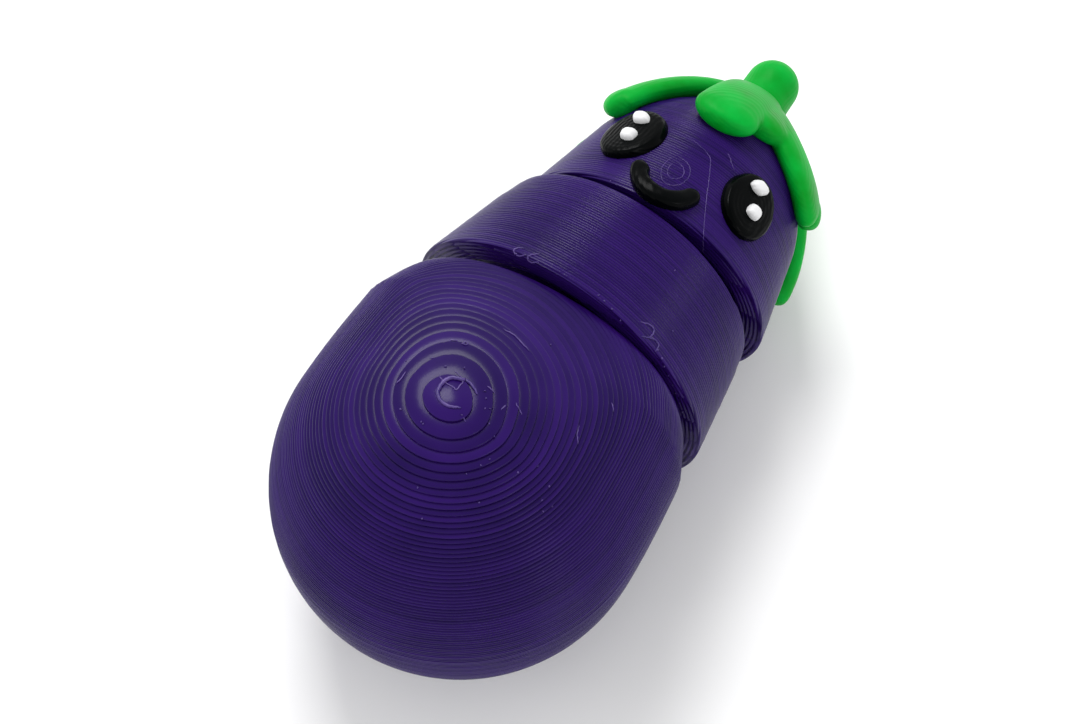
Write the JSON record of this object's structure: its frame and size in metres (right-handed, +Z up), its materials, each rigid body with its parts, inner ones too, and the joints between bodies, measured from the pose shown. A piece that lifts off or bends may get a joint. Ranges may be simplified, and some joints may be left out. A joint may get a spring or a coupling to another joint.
{
  "type": "articulated eggplant toy",
  "caption": "Printed toy eggplant with a smiling face and a green stem; bulb, ring and head bend from side to side on upright pins.",
  "frame": {"origin": "on the floor, under the middle of the bulb", "axes": "+Y from the tail towards the stem, +Z up through the face, +X to the right seen from the tail"},
  "size_m": [0.0332, 0.0719, 0.0322],
  "materials": {
    "purple_plastic": "satin printed plastic with fine layer lines",
    "green_plastic": "satin printed plastic",
    "black_plastic": "glossy printed plastic",
    "white_plastic": "matt printed plastic"
  },
  "bodies": {
    "bulb_body": {"bulb": "purple_plastic"},
    "ring_body": {"middle_ring": "purple_plastic"},
    "head_body": {"head": "purple_plastic", "calyx": "green_plastic", "smile": "black_plastic", "left_eye": "black_plastic", "right_eye": "black_plastic", "left_eye_upper_glint": "white_plastic", "left_eye_lower_glint": "white_plastic", "right_eye_upper_glint": "white_plastic", "right_eye_lower_glint": "white_plastic"}
  },
  "joints": [
    {"name": "ring_swing", "type": "hinge", "parent": "bulb_body", "child": "ring_body", "pos_m": [0, 0.011, 0.0139], "axis": [0, 0, 1], "range_deg": [-0.4, 9.6]},
    {"name": "head_swing", "type": "hinge", "parent": "ring_body", "child": "head_body", "pos_m": [0.00092, 0.02246, 0.01225], "axis": [0, 0, 1], "range_deg": [-6, 1.5]}
  ]
}
